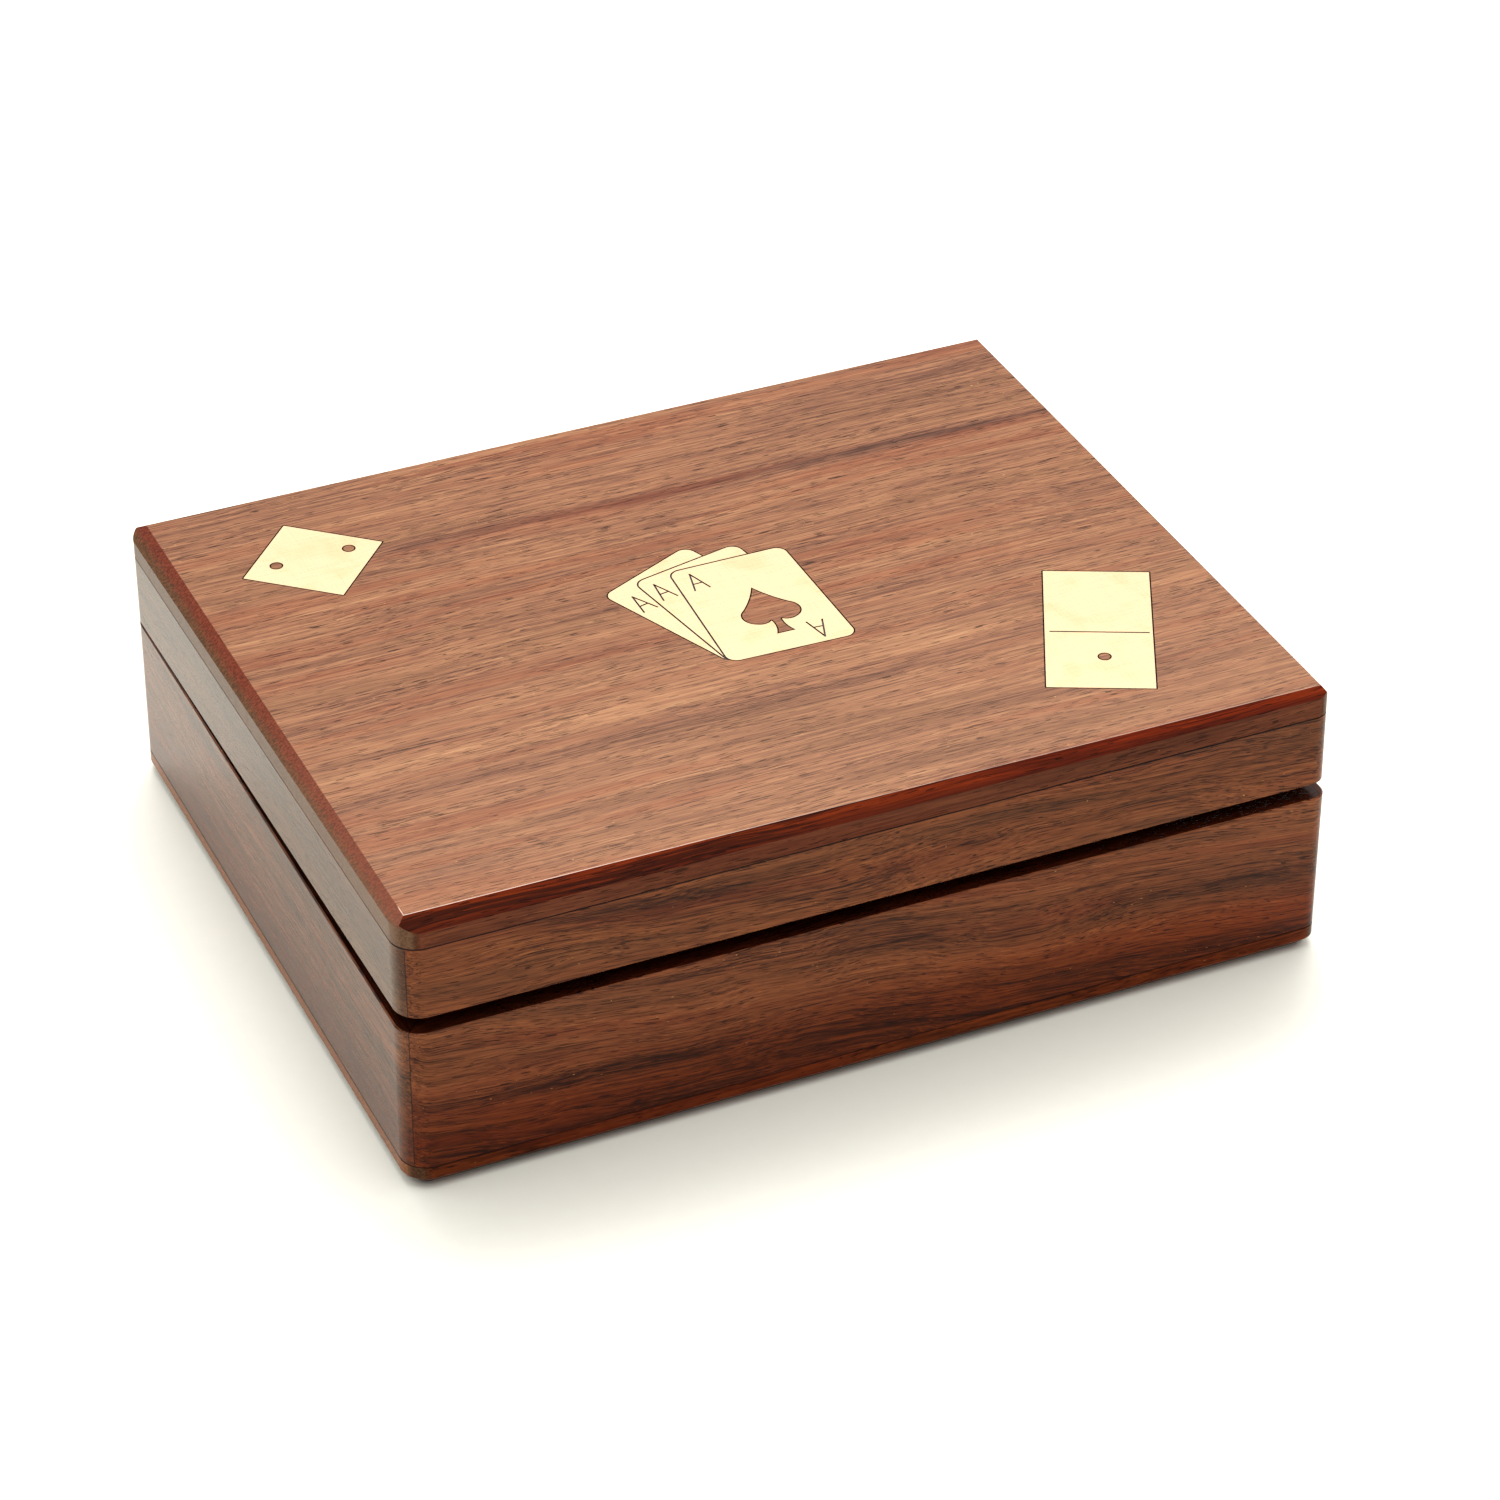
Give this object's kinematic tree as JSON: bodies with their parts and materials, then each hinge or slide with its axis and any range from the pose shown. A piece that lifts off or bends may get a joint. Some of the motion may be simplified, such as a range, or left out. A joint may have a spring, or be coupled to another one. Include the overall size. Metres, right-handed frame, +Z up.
{
  "type": "hinged wooden games box",
  "caption": "Low rectangular hardwood games box with a hinged lid, flush brass inlays of a die, fanned playing cards and a domino, and felt-lined wells inside.",
  "frame": {"origin": "centre of the underside of the bottom panel, between the outside faces of the four walls", "axes": "+X along the front from the left side to the right side, +Y from the front to the hinges, +Z up"},
  "size_m": [0.165, 0.1375, 0.0525],
  "materials": {
    "rosewood_side": "reddish brown rosewood, satin gloss lacquer, grain along each wall",
    "rosewood_panel": "reddish brown rosewood, satin gloss lacquer, grain along the length",
    "divider_wood": "thin matt varnish",
    "felt": "dark red wool felt",
    "inlay_brass": "hand filed and lacquered, dark in the scribed lines",
    "hinge_brass": "lightly tarnished",
    "hinge_steel": "brass plated"
  },
  "bodies": {
    "base": {"base_front_wall": "rosewood_side", "base_back_wall": "rosewood_side", "base_left_wall": "rosewood_side", "base_right_wall": "rosewood_side", "base_bottom_panel": "rosewood_panel", "long_divider": "divider_wood", "cross_divider": "divider_wood", "tray_felt": "felt", "card_well_felt": "felt", "chip_well_felt": "felt", "left_hinge_base_leaf": "hinge_brass", "right_hinge_base_leaf": "hinge_brass", "left_hinge_pin": "hinge_steel", "right_hinge_pin": "hinge_steel", "base_hinge_screws": "hinge_steel"},
    "lid": {"lid_front_rail": "rosewood_side", "lid_back_rail": "rosewood_side", "lid_left_rail": "rosewood_side", "lid_right_rail": "rosewood_side", "lid_top_panel": "rosewood_panel", "lid_felt": "felt", "die_inlay": "inlay_brass", "card_fan_inlay": "inlay_brass", "domino_inlay": "inlay_brass", "left_hinge_lid_leaf": "hinge_brass", "right_hinge_lid_leaf": "hinge_brass", "lid_hinge_screws": "hinge_steel"}
  },
  "joints": [
    {"name": "lid_hinge", "type": "hinge", "parent": "base", "child": "lid", "pos_m": [0, 0.0689, 0.0314], "axis": [-1, 0, 0], "range_deg": [-1.15, 178.85]}
  ]
}
